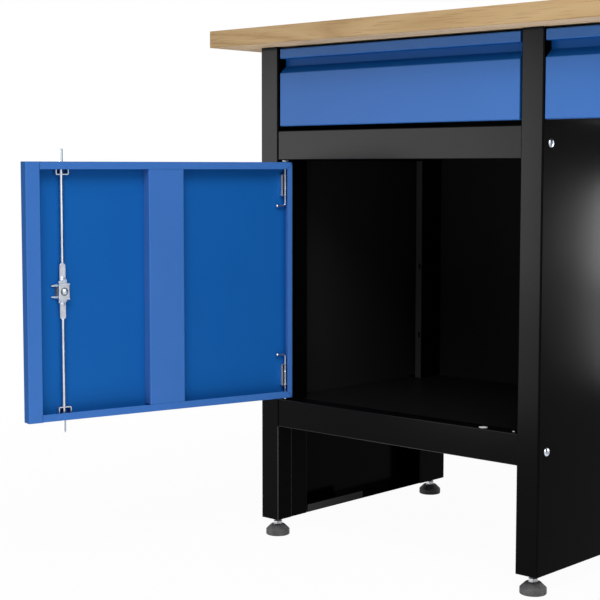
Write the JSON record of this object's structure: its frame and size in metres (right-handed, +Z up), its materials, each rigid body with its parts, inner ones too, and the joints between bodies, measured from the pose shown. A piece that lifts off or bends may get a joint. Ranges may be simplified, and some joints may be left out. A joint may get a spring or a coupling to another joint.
{
  "type": "workbench with cabinet doors",
  "caption": "Steel workbench with a thick wooden top, hinged cabinet doors with rod locks, drawers above an open knee bay, and levelling feet.",
  "frame": {"origin": "on the floor, under the middle of the bench as it stands with its left door open", "axes": "+X along the bench from the left cabinet to the right one, +Y from the front to the back, +Z up"},
  "size_m": [1.717, 0.9906, 0.85],
  "materials": {
    "oak_top": "sealed oak-like laminate",
    "black_coat": "black satin-gloss powder coat",
    "blue_coat": "blue satin powder coat",
    "zinc_plate": "bright zinc plate",
    "runner_steel": "plain galvanised sheet",
    "foot_plastic": "dark grey moulded plastic"
  },
  "bodies": {
    "frame": {"worktop": "oak_top", "rear_tie_beam": "black_coat", "left_outer_side_panel": "black_coat", "left_inner_side_panel": "black_coat", "left_back_panel": "black_coat", "left_cabinet_floor": "black_coat", "left_header_rail": "black_coat", "right_outer_side_panel": "black_coat", "right_inner_side_panel": "black_coat", "right_back_panel": "black_coat", "right_cabinet_floor": "black_coat", "right_header_rail": "black_coat", "left_drawer_left_runner": "runner_steel", "left_drawer_right_runner": "runner_steel", "centre_drawer_left_runner": "runner_steel", "centre_drawer_right_runner": "runner_steel", "right_drawer_left_runner": "runner_steel", "right_drawer_right_runner": "runner_steel"},
    "left_drawer": {"left_drawer_front": "blue_coat", "left_drawer_tray": "black_coat"},
    "centre_drawer": {"centre_drawer_front": "blue_coat", "centre_drawer_tray": "black_coat"},
    "right_drawer": {"right_drawer_front": "blue_coat", "right_drawer_tray": "black_coat"},
    "left_door": {"left_door_panel": "blue_coat", "left_door_stiffener": "blue_coat", "left_door_lock_body": "zinc_plate", "left_door_upper_rod_guide": "zinc_plate", "left_door_lower_rod_guide": "zinc_plate", "left_door_upper_hinge_bracket": "zinc_plate", "left_door_lower_hinge_bracket": "zinc_plate", "left_door_upper_hinge_spring": "zinc_plate", "left_door_lower_hinge_spring": "zinc_plate"},
    "left_lock": {"left_door_lock_spindle": "zinc_plate"},
    "left_upper_rod": {"left_door_upper_rod": "zinc_plate"},
    "left_lower_rod": {"left_door_lower_rod": "zinc_plate"},
    "left_upper_pin": {"left_door_upper_hinge_pin": "zinc_plate"},
    "left_lower_pin": {"left_door_lower_hinge_pin": "zinc_plate"},
    "right_door": {"right_door_panel": "blue_coat", "right_door_stiffener": "blue_coat", "right_door_lock_body": "zinc_plate", "right_door_upper_rod_guide": "zinc_plate", "right_door_lower_rod_guide": "zinc_plate", "right_door_upper_hinge_bracket": "zinc_plate", "right_door_lower_hinge_bracket": "zinc_plate", "right_door_upper_hinge_spring": "zinc_plate", "right_door_lower_hinge_spring": "zinc_plate"},
    "right_lock": {"right_door_lock_spindle": "zinc_plate"},
    "right_upper_rod": {"right_door_upper_rod": "zinc_plate"},
    "right_lower_rod": {"right_door_lower_rod": "zinc_plate"},
    "right_upper_pin": {"right_door_upper_hinge_pin": "zinc_plate"},
    "right_lower_pin": {"right_door_lower_hinge_pin": "zinc_plate"},
    "left_front_outer_foot": {"left_front_outer_foot": "foot_plastic"},
    "left_front_inner_foot": {"left_front_inner_foot": "foot_plastic"},
    "left_rear_outer_foot": {"left_rear_outer_foot": "foot_plastic"},
    "left_rear_inner_foot": {"left_rear_inner_foot": "foot_plastic"},
    "right_front_outer_foot": {"right_front_outer_foot": "foot_plastic"},
    "right_front_inner_foot": {"right_front_inner_foot": "foot_plastic"},
    "right_rear_outer_foot": {"right_rear_outer_foot": "foot_plastic"},
    "right_rear_inner_foot": {"right_rear_inner_foot": "foot_plastic"}
  },
  "joints": [
    {"name": "left_drawer_slide", "type": "slide", "parent": "frame", "child": "left_drawer", "axis": [0, -1, 0], "range_m": [0, 0.35]},
    {"name": "centre_drawer_slide", "type": "slide", "parent": "frame", "child": "centre_drawer", "axis": [0, -1, 0], "range_m": [0, 0.35]},
    {"name": "right_drawer_slide", "type": "slide", "parent": "frame", "child": "right_drawer", "axis": [0, -1, 0], "range_m": [0, 0.35]},
    {"name": "left_door_hinge", "type": "hinge", "parent": "frame", "child": "left_door", "pos_m": [-0.73798, -0.04172, 0.437], "axis": [0, 0, 1], "range_deg": [-5.7, 104.3]},
    {"name": "left_lock_turn", "type": "hinge", "parent": "left_door", "child": "left_lock", "pos_m": [-0.83727, -0.43126, 0.437], "axis": [0.969, -0.247, 0], "range_deg": [0, 180]},
    {"name": "left_upper_rod_slide", "type": "slide", "parent": "left_door", "child": "left_upper_rod", "axis": [0, 0, 1], "range_m": [0, 0.01413]},
    {"name": "left_lower_rod_slide", "type": "slide", "parent": "left_door", "child": "left_lower_rod", "axis": [0, 0, -1], "range_m": [0, 0.01413]},
    {"name": "left_upper_pin_pull", "type": "slide", "parent": "left_door", "child": "left_upper_pin", "axis": [0, 0, -1], "range_m": [0, 0.012], "stiffness_N_per_m": 300, "springref_m": -0.005, "deforming": ["left_door_upper_hinge_spring"]},
    {"name": "left_lower_pin_pull", "type": "slide", "parent": "left_door", "child": "left_lower_pin", "axis": [0, 0, 1], "range_m": [0, 0.012], "stiffness_N_per_m": 300, "springref_m": -0.005, "deforming": ["left_door_lower_hinge_spring"]},
    {"name": "right_door_hinge", "type": "hinge", "parent": "frame", "child": "right_door", "pos_m": [0.74502, -0.04172, 0.437], "axis": [0, 0, 1], "range_deg": [0, 110]},
    {"name": "right_lock_turn", "type": "hinge", "parent": "right_door", "child": "right_lock", "pos_m": [0.34302, -0.04172, 0.437], "axis": [0, -1, 0], "range_deg": [0, 180]},
    {"name": "right_upper_rod_slide", "type": "slide", "parent": "right_door", "child": "right_upper_rod", "axis": [0, 0, 1], "range_m": [0, 0.01413]},
    {"name": "right_lower_rod_slide", "type": "slide", "parent": "right_door", "child": "right_lower_rod", "axis": [0, 0, -1], "range_m": [0, 0.01413]},
    {"name": "right_upper_pin_pull", "type": "slide", "parent": "right_door", "child": "right_upper_pin", "axis": [0, 0, -1], "range_m": [0, 0.012], "stiffness_N_per_m": 300, "springref_m": -0.005, "deforming": ["right_door_upper_hinge_spring"]},
    {"name": "right_lower_pin_pull", "type": "slide", "parent": "right_door", "child": "right_lower_pin", "axis": [0, 0, 1], "range_m": [0, 0.012], "stiffness_N_per_m": 300, "springref_m": -0.005, "deforming": ["right_door_lower_hinge_spring"]},
    {"name": "left_front_outer_foot_screw", "type": "slide", "parent": "frame", "child": "left_front_outer_foot", "axis": [0, 0, -1], "range_m": [0, 0.012]},
    {"name": "left_front_inner_foot_screw", "type": "slide", "parent": "frame", "child": "left_front_inner_foot", "axis": [0, 0, -1], "range_m": [0, 0.012]},
    {"name": "left_rear_outer_foot_screw", "type": "slide", "parent": "frame", "child": "left_rear_outer_foot", "axis": [0, 0, -1], "range_m": [0, 0.012]},
    {"name": "left_rear_inner_foot_screw", "type": "slide", "parent": "frame", "child": "left_rear_inner_foot", "axis": [0, 0, -1], "range_m": [0, 0.012]},
    {"name": "right_front_outer_foot_screw", "type": "slide", "parent": "frame", "child": "right_front_outer_foot", "axis": [0, 0, -1], "range_m": [0, 0.012]},
    {"name": "right_front_inner_foot_screw", "type": "slide", "parent": "frame", "child": "right_front_inner_foot", "axis": [0, 0, -1], "range_m": [0, 0.012]},
    {"name": "right_rear_outer_foot_screw", "type": "slide", "parent": "frame", "child": "right_rear_outer_foot", "axis": [0, 0, -1], "range_m": [0, 0.012]},
    {"name": "right_rear_inner_foot_screw", "type": "slide", "parent": "frame", "child": "right_rear_inner_foot", "axis": [0, 0, -1], "range_m": [0, 0.012]}
  ],
  "couplings": [
    {"joint": "left_lower_rod_slide", "follows": "left_upper_rod_slide", "ratio": 1},
    {"joint": "left_lock_turn", "follows": "left_upper_rod_slide", "rad_per_m": 222.2},
    {"joint": "right_lower_rod_slide", "follows": "right_upper_rod_slide", "ratio": 1},
    {"joint": "right_lock_turn", "follows": "right_upper_rod_slide", "rad_per_m": 222.2}
  ]
}
